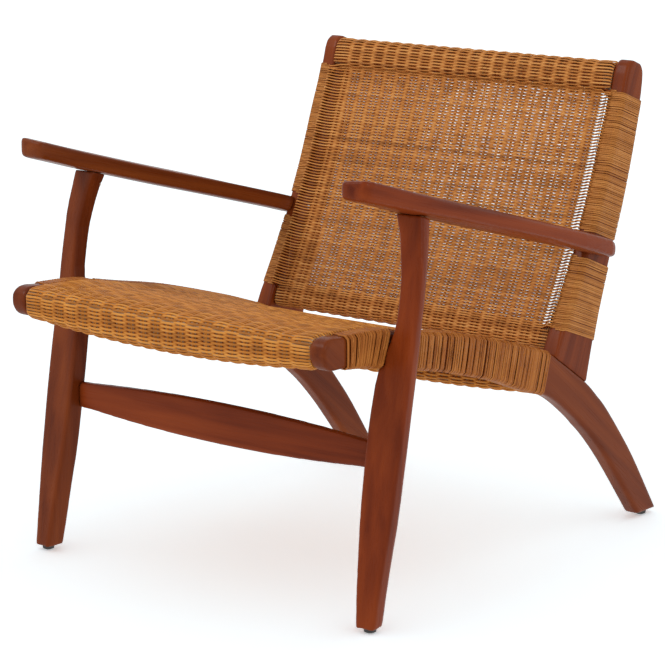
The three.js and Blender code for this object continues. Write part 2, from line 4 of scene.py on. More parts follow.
import bmesh
import bpy
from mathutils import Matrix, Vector


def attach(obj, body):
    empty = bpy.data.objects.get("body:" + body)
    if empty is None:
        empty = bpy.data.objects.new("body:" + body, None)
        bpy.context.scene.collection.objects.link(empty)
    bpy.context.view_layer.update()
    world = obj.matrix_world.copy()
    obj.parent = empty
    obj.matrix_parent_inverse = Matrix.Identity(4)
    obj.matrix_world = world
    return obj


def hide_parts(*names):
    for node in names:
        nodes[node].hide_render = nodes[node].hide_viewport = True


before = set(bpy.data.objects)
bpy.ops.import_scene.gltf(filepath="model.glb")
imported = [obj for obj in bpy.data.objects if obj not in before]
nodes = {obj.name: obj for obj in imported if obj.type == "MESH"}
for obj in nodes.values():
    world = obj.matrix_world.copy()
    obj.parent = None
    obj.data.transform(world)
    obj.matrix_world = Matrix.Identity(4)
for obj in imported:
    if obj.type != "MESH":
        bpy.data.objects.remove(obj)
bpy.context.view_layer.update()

# Camera: a long lens from the front left of the sitter, a little above the armrests, as the
# photograph was taken.
camera_place = (2.47645, -3.07958, 1.18633)
looked_at = (0.2475, -0.34126, 0.41419)

camera = bpy.data.objects.new("camera", bpy.data.cameras.new("camera"))
bpy.context.collection.objects.link(camera)
camera.location = camera_place
aim = Vector(looked_at) - camera.location
camera.rotation_euler = aim.to_track_quat("-Z", "Y").to_euler()
camera.data.sensor_width = 36
camera.data.lens = 144.155
bpy.context.scene.camera = camera

# Studio: a white sweep with white round it, a wide soft lamp high in front and a weaker one beside
# it. The lamps light the chair alone, and the room's light gives the floor its faint shadow.
white = (1, 1, 1, 1)
room_light = 0.58
floor_half = 20
floor_glow = 1.41
floor_bounce = 0.9
floor_tint = (1.79, 2.04, 2.15, 1)
shadow_share = 0.78
lit_spot = (0, 0, 0.4)
lamps = {"key_lamp": ((-1.6, -2.6, 3.4), 2.2, 62), "side_lamp": ((3.4, -0.6, 1.8), 1.8, 22)}


def wire(tree, node, sockets):
    """Gives each socket of a node its value, or a wire from another node."""
    for socket, value in sockets.items():
        if isinstance(value, bpy.types.NodeSocket):
            tree.links.new(value, node.inputs[socket])
        else:
            node.inputs[socket].default_value = value


def step(tree, kind, sockets=None, **choices):
    """Adds one node, sets its choices and fills or wires its sockets."""
    node = tree.nodes.new(kind)
    for name, value in choices.items():
        setattr(node, name, value)
    wire(tree, node, sockets or {})
    return node


def sum_of(tree, operation, first, second=0.0, third=0.0):
    """One sum on two numbers, or on three for a product with an addition."""
    sockets = {0: first, 1: second}
    if operation == "MULTIPLY_ADD":
        sockets[2] = third
    return step(tree, "ShaderNodeMath", sockets, operation=operation).outputs[0]


world = bpy.data.worlds.new("studio")
bpy.context.scene.world = world
bpy.context.scene.view_settings.view_transform = "Standard"
world.use_nodes = True
tree = world.node_tree
tree.nodes.clear()
ray = step(tree, "ShaderNodeLightPath").outputs
mirrored = sum_of(tree, "MAXIMUM", ray["Is Glossy Ray"], ray["Is Transmission Ray"])
strength = step(tree, "ShaderNodeMapRange", {
    "Value": sum_of(tree, "MAXIMUM", ray["Is Camera Ray"], mirrored),
    "To Min": room_light, "To Max": 1})
sky = step(tree, "ShaderNodeBackground", {"Color": white, "Strength": strength.outputs["Result"]})
step(tree, "ShaderNodeOutputWorld", {0: sky.outputs[0]})

floor = bpy.data.objects.new("floor", bpy.data.meshes.new("floor"))
floor.data.from_pydata([(x * floor_half, y * floor_half, 0) for x, y in (
    (-1, -1), (1, -1), (1, 1), (-1, 1))], [], [(0, 1, 2, 3)])
bpy.context.collection.objects.link(floor)
paper = bpy.data.materials.new("white_sweep")
paper.use_nodes = True
tree = paper.node_tree
tree.nodes.clear()
in_view = step(tree, "ShaderNodeLightPath").outputs["Is Camera Ray"]
matt = step(tree, "ShaderNodeBsdfDiffuse", {"Color": floor_tint})
bounce = step(tree, "ShaderNodeEmission", {"Color": white, "Strength": floor_bounce})
lit = step(tree, "ShaderNodeMixShader", {
    0: sum_of(tree, "SUBTRACT", 1, in_view), 1: matt.outputs[0], 2: bounce.outputs[0]})
glow = step(tree, "ShaderNodeEmission", {"Color": white, "Strength": floor_glow})
blend = step(tree, "ShaderNodeMixShader", {
    0: sum_of(tree, "MULTIPLY", in_view, 1 - shadow_share), 1: lit.outputs[0], 2: glow.outputs[0]})
step(tree, "ShaderNodeOutputMaterial", {0: blend.outputs[0]})
floor.data.materials.append(paper)

unlit = bpy.data.collections.new("out of the lamps' light")
unlit.objects.link(floor)
unlit.collection_objects[0].light_linking.link_state = "EXCLUDE"
for name, (place, size, watts) in lamps.items():
    data = bpy.data.lights.new(name, "AREA")
    data.shape = "DISK"
    data.size = size
    data.energy = watts
    lamp = bpy.data.objects.new(name, data)
    bpy.context.collection.objects.link(lamp)
    lamp.location = place
    lamp.rotation_euler = (Vector(lit_spot) - Vector(place)).to_track_quat("-Z", "Y").to_euler()
    lamp.light_linking.receiver_collection = unlit

# Frame timber: nine parts sawn from a red-brown hardwood along its grain, their edges eased by
# hand, stained and given a satin lacquer. The armrests are rounder at their ends and underneath.
timber_grid = 0.002
edge_passes = 4
arm_ends = ((-0.400, -0.352, 14), (0.222, 0.270, 32))
arm_under = 16
facing_down = -0.3
kept_faces = 0.35
flat_weight = 60
dark_streak = (0.108, 0.014, 0.003)
mid_wood = (0.206, 0.033, 0.006)
light_streak = (0.298, 0.055, 0.010)
lacquer_roughness = (0.24, 0.38)
lacquer_shine = 0.11
pore_depth = 0.0004


def figure(tree, place, scale, detail, stretch=None, distortion=0):
    """A drawn pattern at a scale, longer where its stretch is small."""
    if stretch:
        place = step(tree, "ShaderNodeMapping", {"Vector": place, "Scale": stretch}).outputs[0]
    return step(tree, "ShaderNodeTexNoise", {
        "Vector": place, "Scale": scale, "Detail": detail, "Distortion": distortion}).outputs["Fac"]


def toned(tree, value, low, high, *between):
    """Turns a value into a colour. Each stop is a value and the colour there."""
    ramp = step(tree, "ShaderNodeValToRGB", {"Fac": value})
    stops = ramp.color_ramp.elements
    stops[0].position, stops[0].color = low
    stops[1].position, stops[1].color = high
    for position, colour in between:
        stops.new(position).color = colour
    return ramp.outputs["Color"]


def relief(tree, height, strength, distance):
    """Raises the surface by a pattern, as far as its finish shows."""
    bump = step(tree, "ShaderNodeBump", {
        "Strength": strength, "Distance": distance, "Height": height})
    return bump.outputs["Normal"]


def hardwood(name, turn, start, tint_and_shade=(1, 1, 1)):
    """A lacquered timber whose grain runs along Z once its coordinates are turned."""
    # The colour is scaled by the piece's cast, which also carries painted light and shade
    dark, mid, light = (
        [channel * share for channel, share in zip(streak, tint_and_shade)] + [1]
        for streak in (dark_streak, mid_wood, light_streak))
    material = bpy.data.materials.new(name)
    material.use_nodes = True
    tree = material.node_tree
    place = step(tree, "ShaderNodeTexCoord").outputs["Object"]
    along = step(tree, "ShaderNodeMapping", {
        "Vector": place, "Location": start,
        "Rotation": [math.radians(angle) for angle in turn]}).outputs[0]
    streaks = figure(tree, along, 55, 4, (1, 1, 0.05), 0.4)
    clouds = figure(tree, along, 9, 2, (1, 1, 0.28), 0.6)
    pores = figure(tree, along, 520, 2, (1, 1, 0.025))
    both = step(tree, "ShaderNodeMix", {"Factor": 0.45, "A": streaks, "B": clouds})
    gloss = step(tree, "ShaderNodeMapRange", {
        "Value": pores, "From Min": 0.3, "From Max": 0.7,
        "To Min": lacquer_roughness[0], "To Max": lacquer_roughness[1]})
    wire(tree, tree.nodes["Principled BSDF"], {
        "Base Color": toned(tree, both.outputs["Result"], (0.3, dark), (0.72, light), (0.5, mid)),
        "Roughness": gloss.outputs["Result"], "Normal": relief(tree, pores, 0.12, pore_depth),
        "Specular IOR Level": lacquer_shine})
    return material


def finished_timber(name, material, ends=(), under=0):
    """A copy of the CAD part with its edges sanded round, and worn at its ends and underneath."""
    shape = bmesh.new()
    shape.from_mesh(nodes[name].data)
    bmesh.ops.remove_doubles(shape, verts=shape.verts, dist=1e-6)
    data = bpy.data.meshes.new(name + "_timber")
    shape.to_mesh(data)
    shape.free()
    piece = bpy.data.objects.new(name + "_timber", data)
    bpy.context.collection.objects.link(piece)
    grid = piece.modifiers.new("even grid", "REMESH")
    grid.mode = "VOXEL"
    grid.voxel_size = timber_grid
    shape = bmesh.new()
    shape.from_object(piece, bpy.context.evaluated_depsgraph_get())
    piece.modifiers.clear()
    below = [vert for vert in shape.verts if vert.normal.z < facing_down]
    passes = [(list(shape.verts), edge_passes), (below, under)]
    for low, high, times in ends:
        passes.append(([vert for vert in shape.verts if low < vert.co.y < high], times))
    for chosen, times in passes:
        for _ in range(times):
            bmesh.ops.smooth_vert(
                shape, verts=chosen, factor=0.5, use_axis_x=True, use_axis_y=True, use_axis_z=True)
    for face in shape.faces:
        face.smooth = True
        face.material_index = 0
    shape.to_mesh(data)
    shape.free()
    data.materials.clear()
    data.materials.append(material)
    lighter = piece.modifiers.new("fewer faces", "DECIMATE")
    lighter.ratio = kept_faces
    flats = piece.modifiers.new("flat faces", "WEIGHTED_NORMAL")
    flats.keep_sharp = False
    flats.weight = flat_weight
    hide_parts(name)
    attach(piece, "root")


# For each kind of timber: the turn that brings its grain along Z, where its pattern starts, and the
# colour casts of its right and left pieces. A cast is partly the wood's own tone, and where a left
# piece's cast differs from the right one's, it is painted light and shade.
timbers = {
    "side_rail": ((128, 0, 0), (0.1, 0.3), (0.83, 1.0, 1.05), (0.83, 1.0, 1.05)),
    "back_post": ((25, 0, 0), (0.4, 0.9), (0.94, 1.08, 1.15), (1.15, 1.4, 1.4)),
    "armrest": ((105, 0, 0), (1.3, 0.2), (1, 1, 1), (0.80, 1.0, 1.0)),
    "front_leg": ((0, 0, 0), (0.8, 1.7), (0.95, 0.93, 0.9), (0.82, 0.97, 1.0)),
}
wear = {"armrest": (arm_ends, arm_under)}
for which, (side, shift) in enumerate((("right", 0.0), ("left", 0.7))):
    for part, (turn, start, *tints_and_shade) in timbers.items():
        wood = hardwood(part + "_wood_" + side, turn, (shift, *start), tints_and_shade[which])
        finished_timber(part + "_" + side, wood, *wear.get(part, ()))
finished_timber("front_stretcher", hardwood("stretcher_wood", (0, 90, 0), (0.2, 0.5, 1.1)))

# Wound cane: round the side rails and posts the same peeled cane is wound turn against turn, each
# stretch started and ended under its own turns. The rails' turns are wider and looser, and their
# cane is painted darker as shade.
turn_pitch = {"back_post": 0.0026, "side_rail": 0.0032}
turn_fill = 0.98
strand_depth = 0.0017
strand_sides = 6
strand_swell = 1.155
strand_crown = 0.45
points_per_turn = 36
board_middle = 0.282
board_half = 0.0135
guide_gap = 0.006
guide_reach = 0.62
guide_corner = 1.35
slow_drift = 0.37
fibre_depth = 0.0003
cane_roughness = 0.46
cane_shine = 0.13
# The colour that paints shade into cane that lies deep or runs in behind the back panel
painted_shade_colour = (0.44, 0.22, 0.10, 1)
painted_shade_range = (0.1, 0.75)


def cane_skin(name, dark, mid, light):
    """Peeled cane with its own tone on each strand, darker stretches, a waxy sheen and painted
    shade.
    """
    material = bpy.data.materials.new(name)
    material.use_nodes = True
    tree = material.node_tree
    place = step(tree, "ShaderNodeTexCoord").outputs["Object"]
    tone = step(tree, "ShaderNodeAttribute", attribute_name="tone").outputs["Fac"]
    sunk = step(tree, "ShaderNodeAttribute", attribute_name="sunk").outputs["Fac"]
    mixed = step(tree, "ShaderNodeMix", {
        "Factor": 0.55, "A": tone, "B": figure(tree, place, 38, 3)})
    skin = toned(tree, mixed.outputs["Result"], (0.22, (*dark, 1)), (0.8, (*light, 1)),
                 (0.48, (*mid, 1)))
    # Each strand is darkened towards that colour by the painted shade that it holds
    depth = step(tree, "ShaderNodeMapRange", {
        "Value": sunk, "From Min": painted_shade_range[0], "From Max": painted_shade_range[1]},
        interpolation_type="SMOOTHSTEP")
    shaded_skin = step(tree, "ShaderNodeMix", {0: depth.outputs["Result"], 6: skin, 7: painted_shade_colour},
                  data_type="RGBA", blend_type="MULTIPLY")
    wire(tree, tree.nodes["Principled BSDF"], {
        "Base Color": shaded_skin.outputs[2], "Roughness": cane_roughness,
        "Normal": relief(tree, figure(tree, place, 900, 1), 0.15, fibre_depth),
        "Specular IOR Level": cane_shine})
    return material


def new_recipe(name, sizes):
    """A Geometry Nodes tree with named inputs. Gives the tree, its inputs and its output socket."""
    tree = bpy.data.node_groups.new(name, "GeometryNodeTree")
    tree.interface.new_socket("Geometry", in_out="INPUT", socket_type="NodeSocketGeometry")
    for label, kind in sizes.items():
        tree.interface.new_socket(label, in_out="INPUT", socket_type="NodeSocket" + kind)
    tree.interface.new_socket("Geometry", in_out="OUTPUT", socket_type="NodeSocketGeometry")
    given = tree.nodes.new("NodeGroupInput").outputs
    return tree, given, tree.nodes.new("NodeGroupOutput").inputs[0]


def vector_of(tree, operation, first, second=None, scale=None):
    """One sum on vectors, with a second vector or a scale where it needs one."""
    sockets = {0: first}
    if second is not None:
        sockets[1] = second
    if scale is not None:
        sockets["Scale"] = scale
    return step(tree, "ShaderNodeVectorMath", sockets, operation=operation).outputs[0]


def field(tree, name, kind="FLOAT"):
    """Reads a value that every point holds under a name."""
    node = step(tree, "GeometryNodeInputNamedAttribute", {"Name": name}, data_type=kind)
    return node.outputs["Attribute"]


def kept(tree, geometry, name, value, kind="FLOAT"):
    """Stores a value on every point under a name."""
    return step(tree, "GeometryNodeStoreNamedAttribute", {
        "Geometry": geometry, "Name": name, "Value": value},
        data_type=kind, domain="POINT").outputs[0]


def strands_along(tree, lines, given):
    """Gives every line a strand with a broad, slightly crowned top that faces outward."""
    lines = step(tree, "GeometryNodeSetCurveNormal", {
        "Curve": lines, "Normal": field(tree, "outward", "FLOAT_VECTOR")}, mode="FREE")
    ring = step(tree, "GeometryNodeCurvePrimitiveCircle", {
        "Resolution": strand_sides, "Radius": 0.5})
    ring = step(tree, "GeometryNodeTransform", {
        "Geometry": ring.outputs["Curve"], "Rotation": (0, 0, math.pi / strand_sides)})
    spot = step(tree, "GeometryNodeInputPosition").outputs[0]
    spot = step(tree, "ShaderNodeSeparateXYZ", {0: spot}).outputs
    across = sum_of(tree, "MULTIPLY", sum_of(tree, "ABSOLUTE", spot[1]), 2.0)
    across = sum_of(tree, "MULTIPLY", sum_of(tree, "POWER", across, strand_crown), 0.5)
    across = sum_of(tree, "MULTIPLY", across, sum_of(tree, "SIGN", spot[1]))
    deep = sum_of(tree, "MULTIPLY", spot[0], given["Depth"])
    place = step(tree, "ShaderNodeCombineXYZ", {
        0: sum_of(tree, "MULTIPLY", deep, strand_swell),
        1: sum_of(tree, "MULTIPLY", across, given["Width"])})
    flat = step(tree, "GeometryNodeSetPosition", {
        "Geometry": ring.outputs[0], "Position": place.outputs[0]})
    body = step(tree, "GeometryNodeCurveToMesh", {
        "Curve": lines.outputs[0], "Profile Curve": flat.outputs[0], "Fill Caps": True,
        "Scale": field(tree, "girth")})
    smooth = step(tree, "GeometryNodeSetShadeSmooth", {"Geometry": body.outputs[0]})
    real = step(tree, "GeometryNodeRealizeInstances", {"Geometry": smooth.outputs[0]})
    return step(tree, "GeometryNodeSetMaterial", {
        "Geometry": real.outputs[0], "Material": given["Material"]}).outputs[0]


def make(name, source, recipe, sizes):
    """Runs a recipe on a mesh and keeps the result as one plain mesh."""
    guide = bpy.data.objects.new(name + "_guide", source)
    bpy.context.collection.objects.link(guide)
    modifier = guide.modifiers.new("recipe", "NODES")
    modifier.node_group = recipe
    for item in recipe.interface.items_tree:
        if item.in_out == "INPUT" and item.name in sizes:
            modifier[item.identifier] = sizes[item.name]
    ready = guide.evaluated_get(bpy.context.evaluated_depsgraph_get())
    data = bpy.data.meshes.new_from_object(ready)
    bpy.data.objects.remove(guide)
    data.name = name
    piece = bpy.data.objects.new(name, data)
    bpy.context.collection.objects.link(piece)
    return piece


# The turns run round a rounded box a little larger than the board, and are drawn in to the wood
winding, given, winding_end = new_recipe("winding", {
    "Wood": "Object", "Turns": "Int", "Points": "Int", "Half thickness": "Float", "Gap": "Float",
    "Width": "Float", "Depth": "Float", "Middle": "Float", "Unevenness": "Float",
    "Parting": "Float", "Bulge": "Float", "Shade start": "Float", "Shade full": "Float",
    "Material": "Material"})
edges = step(winding, "GeometryNodeMeshToCurve", {"Mesh": given["Geometry"]}).outputs[0]
line = step(winding, "GeometryNodeMeshLine", {
    "Count": sum_of(winding, "MULTIPLY_ADD", given["Turns"], given["Points"], 1.0)}, mode="OFFSET")
index = step(winding, "GeometryNodeInputIndex").outputs[0]
turned = sum_of(winding, "DIVIDE", index, given["Points"])
turn_number = sum_of(winding, "FLOOR", turned)
angle = sum_of(winding, "MULTIPLY", turned, math.tau)
beside = sum_of(winding, "POWER", sum_of(winding, "ABSOLUTE", sum_of(winding, "SINE", angle)), 2.0)
drift = step(winding, "ShaderNodeTexNoise", {
    "W": sum_of(winding, "MULTIPLY", turned, slow_drift), "Scale": 1.0, "Detail": 0.0},
    noise_dimensions="1D").outputs[0]
drift = sum_of(winding, "SUBTRACT", drift, 0.5)
shifted = sum_of(winding, "MULTIPLY_ADD", drift, given["Unevenness"], turned)
sway = step(winding, "FunctionNodeRandomValue", {"ID": turn_number, "Seed": 9}, data_type="FLOAT")
sway = sum_of(winding, "SUBTRACT", sway.outputs[1], 0.5)
sway = sum_of(winding, "MULTIPLY", sway, given["Parting"])
shifted = sum_of(winding, "MULTIPLY_ADD", sway, beside, shifted)
share = sum_of(winding, "DIVIDE", shifted, given["Turns"])
upper, lower = (step(winding, "GeometryNodeSampleCurve", {
    "Curves": edges, "Factor": share, "Curve Index": which},
    mode="FACTOR").outputs["Position"] for which in (0, 1))
middle = vector_of(winding, "SCALE", vector_of(winding, "ADD", upper, lower), scale=0.5)
sideways = step(winding, "ShaderNodeCombineXYZ", {0: given["Middle"]}).outputs[0]
middle = vector_of(winding, "ADD", middle, sideways)
reach = vector_of(winding, "SUBTRACT", upper, lower)
reach = vector_of(winding, "SCALE", reach, scale=guide_reach)


def squared(wave):
    """A wave round the turn that stays at its crest and its trough, as round a square corner."""
    widened = sum_of(winding, "MULTIPLY", sum_of(winding, wave, angle), guide_corner)
    return sum_of(winding, "MAXIMUM", sum_of(winding, "MINIMUM", widened, 1.0), -1.0)


upward = vector_of(winding, "SCALE", reach, scale=squared("COSINE"))
width = sum_of(winding, "ADD", given["Half thickness"], given["Gap"])
width = sum_of(winding, "MULTIPLY", width, squared("SINE"))
sideways = step(winding, "ShaderNodeCombineXYZ", {0: width}).outputs[0]
outside = vector_of(winding, "ADD", vector_of(winding, "ADD", middle, upward), sideways)
wood = step(winding, "GeometryNodeObjectInfo", {"Object": given["Wood"]}).outputs["Geometry"]
near = step(winding, "GeometryNodeProximity", {
    0: wood, "Sample Position": outside}, target_element="FACES").outputs["Position"]
outward = vector_of(winding, "NORMALIZE", vector_of(winding, "SUBTRACT", outside, near))
bulge = sum_of(winding, "MULTIPLY", given["Bulge"], beside)
lift = sum_of(winding, "MULTIPLY_ADD", given["Depth"], 0.5, bulge)
placed = vector_of(winding, "ADD", near, vector_of(winding, "SCALE", outward, scale=lift))
# Turns nearer the middle than Shade start get more and more painted shade, fully at Shade full
inward = step(winding, "ShaderNodeSeparateXYZ", {0: placed}).outputs[0]
shaded = step(winding, "ShaderNodeMapRange", {
    "Value": sum_of(winding, "ABSOLUTE", inward), "From Min": given["Shade start"],
    "From Max": given["Shade full"]}).outputs[0]
tone = step(winding, "FunctionNodeRandomValue", {"ID": turn_number, "Seed": 7}, data_type="FLOAT")
line = kept(winding, line.outputs[0], "tone", tone.outputs[1])
line = kept(winding, line, "sunk", shaded)
line = kept(winding, line, "girth", 1.0)
line = kept(winding, line, "outward", outward, "FLOAT_VECTOR")
put = step(winding, "GeometryNodeSetPosition", {"Geometry": line, "Position": placed})
helix = step(winding, "GeometryNodeMeshToCurve", {"Mesh": put.outputs[0]}).outputs[0]
winding.links.new(strands_along(winding, helix, given), winding_end)

# How each wood is wound. Unevenness and Parting count in turns. The turns on a post are painted
# with shade where they run in behind the back panel, between the two distances from the middle of
# the chair. Those on a rail get no such shade, but the rail cane is painted darker as shade.
wound = {
    "back_post": {
        "Unevenness": 0.85, "Parting": 0.3, "Bulge": 0.0,
        "Shade start": 0.2738, "Shade full": 0.2690,
        "Material": cane_skin("post_cane_skin", dark=(0.355, 0.126, 0.026),
                              mid=(0.470, 0.177, 0.040), light=(0.610, 0.262, 0.070))},
    "side_rail": {
        "Unevenness": 1.25, "Parting": 1.7, "Bulge": 0.0014,
        "Shade start": 0.0, "Shade full": -1.0,
        # The same cane as on the posts, painted darker as shade
        "Material": cane_skin("rail_cane_skin", dark=(0.265, 0.074, 0.012),
                              mid=(0.385, 0.120, 0.021), light=(0.520, 0.192, 0.040))},
}

# Each wound stretch: the wood under it, then its upper and lower edge in the side view
stretches = {
    "rail_wrap_front": (
        "side_rail", [(-0.3710, 0.4222), (-0.3186, 0.4197), (-0.2720, 0.4147)],
        [(-0.3710, 0.3728), (-0.3186, 0.3656), (-0.2936, 0.3606)]),
    "rail_wrap_rear": (
        "side_rail", [(-0.2520, 0.4096), (-0.1152, 0.3817), (-0.0637, 0.3689), (0.0222, 0.3447),
                      (0.1132, 0.3146)],
        [(-0.2600, 0.3539), (-0.1648, 0.3336), (-0.0380, 0.2979), (0.0408, 0.2685),
         (0.0936, 0.2499)]),
    "post_wrap_lower": (
        "back_post", [(0.1423, 0.3438), (0.1707, 0.3954), (0.1972, 0.4471)],
        [(0.2308, 0.3116), (0.2468, 0.3645), (0.2667, 0.4188)]),
    "post_wrap_upper": (
        "back_post", [(0.2136, 0.4827), (0.2370, 0.5352), (0.2697, 0.6220), (0.2928, 0.6846)],
        [(0.2809, 0.4578), (0.3108, 0.5385), (0.3201, 0.5688), (0.3468, 0.6647)]),
}
for stretch, (wood_name, upper, lower) in stretches.items():
    for side, sign in (("right", 1), ("left", -1)):
        guide = bpy.data.meshes.new(stretch)
        points = [(0, y, z) for y, z in upper + lower]
        joins = [(i, i + 1) for i in range(len(points) - 1) if i != len(upper) - 1]
        guide.from_pydata(points, joins, [])
        length = sum((Vector(b) - Vector(a)).length for a, b in zip(upper, upper[1:]))
        name = stretch + "_" + side
        wrap = make(name + "_turns", guide, winding, {
            "Wood": nodes[wood_name + "_" + side],
            "Turns": round(length / turn_pitch[wood_name]), "Points": points_per_turn,
            "Half thickness": board_half, "Gap": guide_gap, "Middle": sign * board_middle,
            "Width": turn_pitch[wood_name] * turn_fill, "Depth": strand_depth,
            **wound[wood_name]})
        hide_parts(name)
        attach(wrap, "root")

# Woven seat and back: pairs of thin warps run from rail to rail, and single strands cross them over
# and under by turns. Past the last warps these close up in pairs and turn down, or are carried over
# the wound posts.
warp_pitch = 0.0236
last_warp = 0.2478
warp_gap = 0.0025
warp_width = 0.0024
warp_depth = 0.0014
# Every warp is painted with a little shade, as it lies below the crossing strands
warp_shade = 0.22
crossing_fill = 1.14
crossing_depth = 0.0018
crossing_end = 0.2690
crossing_turn = 0.0038
crossing_drop = 0.0035
panel_edge = 0.262
post_inside = 0.2690
post_reach = 0.2720
post_run = 0.003
over_post = 0.0030
weave_swing = 0.0016
weave_hold = 1.1
weave_jitter = 0.0007
edge_run = 0.014
loose_pair = 0.35
band_before = 5
band_rows = 8
points_per_warp = 8
rows_per_piece = 84
cross_shares = (0, 0.3, 0.5, 0.64, 0.74, 0.82, 0.88, 0.93, 0.97, 1)
cut_shift = 0.00013
softened = 5
open_middle = (0.10, 0.27, 0.60)
open_reach = 0.34
open_fade = 1.3
open_patches = 330.0
open_noise = (0.45, 0.62)
open_margin = (0.008, 0.016)
open_light = -1.5


def outlines(name, x):
    """The outlines of a woven CAD part at one X, each an ordered loop of (y, z)."""
    shape = bmesh.new()
    shape.from_mesh(nodes[name].data)
    bmesh.ops.remove_doubles(shape, verts=shape.verts, dist=1e-7)
    spots, beside = {}, {}
    for edge in shape.edges:
        a, b = (vert.co for vert in edge.verts)
        if (a.x - x) * (b.x - x) < 0:
            spots[edge.index] = a.lerp(b, (x - a.x) / (b.x - a.x)).yz
    for face in shape.faces:
        pair = [edge.index for edge in face.edges if edge.index in spots]
        for here, there in (pair, reversed(pair)) if len(pair) == 2 else ():
            beside.setdefault(here, []).append(there)
    loops = []
    while beside:
        here = next(iter(beside))
        loop = []
        while here is not None:
            loop.append(spots[here])
            ways = beside.pop(here)
            here = next((way for way in ways if way in beside), None)
        loops.append(loop)
    shape.free()
    return loops


def walk(loops, *stations):
    """The stretch of an outline from the corner nearest one place to another, by way of a third."""
    def away(loop, spot):
        return min((corner - Vector(spot)).length for corner in loop)

    loop = min(loops, key=lambda loop: sum(away(loop, spot) for spot in stations))
    first, by, last = (
        min(range(len(loop)), key=lambda i: (loop[i] - Vector(spot)).length) for spot in stations)
    ahead = [(first + i) % len(loop) for i in range((last - first) % len(loop) + 1)]
    if by not in ahead:
        ahead = [(first - i) % len(loop) for i in range((first - last) % len(loop) + 1)]
    return [loop[i] for i in ahead]


def spaced(path, count):
    """A number of evenly spaced points on a path."""
    reach = [0.0]
    for a, b in zip(path, path[1:]):
        reach.append(reach[-1] + (b - a).length)
    rows = []
    here = 0
    for i in range(count):
        goal = reach[-1] * i / (count - 1)
        while here < len(path) - 2 and reach[here + 1] < goal:
            here += 1
        a, b = path[here], path[here + 1]
        part = (goal - reach[here]) / max(reach[here + 1] - reach[here], 1e-9)
        rows.append(a.lerp(b, part))
    return rows


def eased(path, passes):
    """The path with its corners softened, its two ends kept."""
    for _ in range(passes):
        inner = [(a + 2 * b + c) / 4 for a, b, c in zip(path, path[1:], path[2:])]
        path = path[:1] + inner + path[-1:]
    return path


def sheet_rows(name, legs, pitch):
    """The rows of a woven sheet at each X, from the outlines of its CAD part."""
    middle = outlines(name, cut_shift)
    counts = []
    for leg in legs:
        path = walk(middle, *leg)
        counts.append(round(sum((b - a).length for a, b in zip(path, path[1:])) / pitch))
    xs = sorted({
        sign * panel_edge * share + cut_shift for share in cross_shares for sign in (-1, 1)})
    columns = []
    for x in xs:
        loops = outlines(name, x)
        rows = []
        for leg, count in zip(legs, counts):
            rows += spaced(walk(loops, *leg), count + 1)[:-1]
        columns.append(eased(rows, softened))
    return xs, columns, counts


def climb(spot, outward, fronts):
    """How far a row lies behind the front of a wound post, or nothing where the post is bare."""
    for front in fronts:
        for a, b in zip(front, front[1:]):
            run = (b[0] - a[0], b[1] - a[1])
            turn = run[0] * outward[1] - run[1] * outward[0]
            gap = (spot.x - a[0], spot.y - a[1])
            along = (gap[0] * outward[1] - gap[1] * outward[0]) / turn
            if 0 <= along <= 1:
                return (gap[0] * run[1] - gap[1] * run[0]) / turn
    return None


def weave_guides(xs, columns, fronts, lifts):
    """Guide lines across the sheet, one for each crossing strand, with their named values."""
    points, joins = [], []
    named = {"outward": [], "along": [], "side": [], "tone": [], "lift": [], "shut": []}
    chance = random.Random(11)
    last = len(columns[0]) - 1
    for r in range(last + 1):
        tone = chance.random()
        line = []
        carried_over = set()
        for k, x in enumerate(xs):
            rows = columns[k]
            way = (rows[min(r + 1, last)] - rows[max(r - 1, 0)]).normalized()
            outward = (-way.y, way.x)
            if k not in (0, len(xs) - 1):
                line.append((x, rows[r], way, outward, lifts[r]))
                continue
            rise = climb(rows[r], outward, fronts)
            if rise is None:
                ending = [(crossing_end - crossing_turn, lifts[r]),
                          (crossing_end, lifts[r] - crossing_drop)]
            else:
                carried_over.add(x > 0)
                ending = [(post_inside, rise + over_post), (post_reach, rise + over_post),
                          (post_reach + post_run, rise)]
            for place, height in ending if x > 0 else reversed(ending):
                line.append((math.copysign(place, x), rows[r], way, outward, height))
        for k, (x, spot, way, outward, lift) in enumerate(line):
            points.append((x, spot.x, spot.y))
            named["along"].append((0, way.x, way.y))
            named["outward"].append((0, *outward))
            named["side"].append(1.0 if r % 2 else -1.0)
            named["tone"].append(tone)
            named["lift"].append(lift)
            named["shut"].append(1.0 if (x > 0) in carried_over else loose_pair)
            if k:
                joins.append((len(points) - 2, len(points) - 1))
    return points, joins, named


def warp_guides(xs, columns):
    """Guide lines along the sheet, two for each pair of warps."""
    points, joins = [], []
    named = {"outward": [], "tone": [], "sunk": []}
    chance = random.Random(12)
    pitches = round(2 * last_warp / warp_pitch)
    for number in range(pitches + 1):
        for place in (-warp_gap / 2, warp_gap / 2):
            x = -last_warp + 2 * last_warp * number / pitches + place
            k = max(i for i in range(len(xs) - 1) if xs[i] <= x)
            part = (x - xs[k]) / (xs[k + 1] - xs[k])
            path = [a.lerp(b, part) for a, b in zip(columns[k], columns[k + 1])][::2]
            tone = chance.random()
            for i, spot in enumerate(path):
                way = (path[min(i + 1, len(path) - 1)] - path[max(i - 1, 0)]).normalized()
                points.append((x, spot.x, spot.y))
                named["outward"].append((0, -way.y, way.x))
                named["tone"].append(tone)
                # The same painted shade on every warp
                named["sunk"].append(warp_shade)
                if i:
                    joins.append((len(points) - 2, len(points) - 1))
    return points, joins, named


